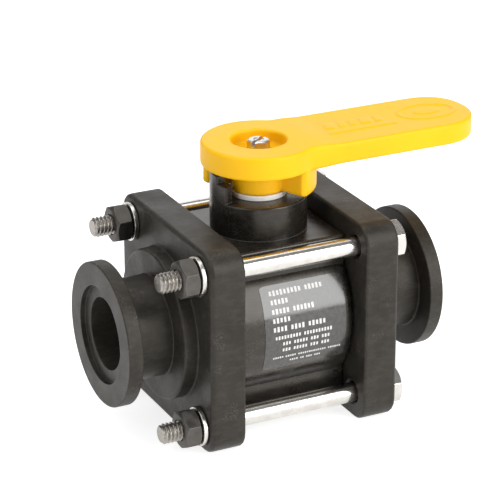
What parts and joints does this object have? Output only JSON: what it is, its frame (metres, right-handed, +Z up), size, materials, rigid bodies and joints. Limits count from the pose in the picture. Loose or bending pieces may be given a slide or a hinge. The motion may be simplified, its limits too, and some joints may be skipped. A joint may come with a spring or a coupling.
{
  "type": "ball valve",
  "caption": "Bolted three-piece plastic ball valve with round clamp flanges, through bolts and a flat quarter-turn lever handle over a stop tab",
  "frame": {"origin": "middle of the bounding box's footprint, on the plane that the two end plates stand on; the stem axis is at X -9.85 mm and the flow axis at Z 32.9 mm", "axes": "+X along the flow, from inlet to outlet, which is also the open handle's direction; +Y across; +Z up along the stem"},
  "size_m": [0.1282, 0.0658, 0.088],
  "materials": {
    "black_plastic": "moulded glass-filled polypropylene, soft satin",
    "yellow_plastic": "moulded nylon, satin",
    "bright_steel": "bright stainless, drawn shank and rolled thread",
    "grey_steel": "dull grey nuts",
    "white_ptfe": "turned white fluoropolymer",
    "seal_rubber": "brown-black FKM rubber",
    "label_film": "gloss printed film with plain bars"
  },
  "bodies": {
    "housing": {"valve_body": "black_plastic", "inlet_adapter": "black_plastic", "inlet_seat": "white_ptfe", "inlet_seat_o_ring": "seal_rubber", "inlet_body_o_ring": "seal_rubber", "outlet_adapter": "black_plastic", "outlet_seat": "white_ptfe", "outlet_seat_o_ring": "seal_rubber", "outlet_body_o_ring": "seal_rubber", "bolt_1": "bright_steel", "nut_1": "grey_steel", "lock_washer_1": "bright_steel", "bolt_2": "bright_steel", "nut_2": "grey_steel", "lock_washer_2": "bright_steel", "bolt_3": "bright_steel", "nut_3": "grey_steel", "lock_washer_3": "bright_steel", "bolt_4": "bright_steel", "nut_4": "grey_steel", "lock_washer_4": "bright_steel", "thrust_washer": "white_ptfe", "label": "label_film"},
    "turning": {"ball": "black_plastic", "stem": "bright_steel", "stem_o_ring_lower": "seal_rubber", "stem_o_ring_upper": "seal_rubber", "handle": "yellow_plastic", "handle_screw": "bright_steel"}
  },
  "joints": [
    {"name": "handle_turn", "type": "hinge", "parent": "housing", "child": "turning", "pos_m": [-0.00985, 0, 0.0329], "axis": [0, 0, 1], "range_deg": [-90, 0]}
  ]
}
